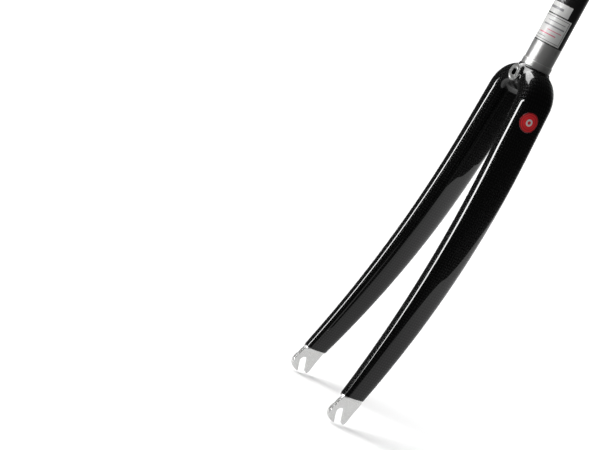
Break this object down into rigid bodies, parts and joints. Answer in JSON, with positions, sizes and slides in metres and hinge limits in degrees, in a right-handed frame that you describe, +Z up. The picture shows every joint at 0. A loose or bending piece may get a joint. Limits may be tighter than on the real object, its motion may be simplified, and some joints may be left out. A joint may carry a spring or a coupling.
{
  "type": "rigid bicycle fork",
  "caption": "Rigid road bicycle fork with curved one piece carbon blades and crown, threadless steerer on an aluminium base, brake hole and slotted dropouts.",
  "frame": {"origin": "on the steerer axis at the foot of the crown race seat", "axes": "+Z up the steerer axis, +X forward towards the rake, +Y to the rider's left"},
  "size_m": [0.0741, 0.1166, 0.6856],
  "materials": {
    "carbon": "woven carbon under high gloss clear coat",
    "steerer_carbon": "satin carbon",
    "base_aluminium": "turned and polished",
    "bush_aluminium": "turned, satin",
    "dropout_aluminium": "tumbled, satin",
    "badge": "gloss",
    "label": "satin film"
  },
  "bodies": {
    "root": {"fork_body": "carbon", "crown_base": "base_aluminium", "steerer_tube": "steerer_carbon", "front_brake_bush": "bush_aluminium", "rear_brake_bush": "bush_aluminium", "left_dropout": "dropout_aluminium", "right_dropout": "dropout_aluminium", "left_badge": "badge", "lower_label": "label", "upper_label": "label"}
  },
  "joints": []
}
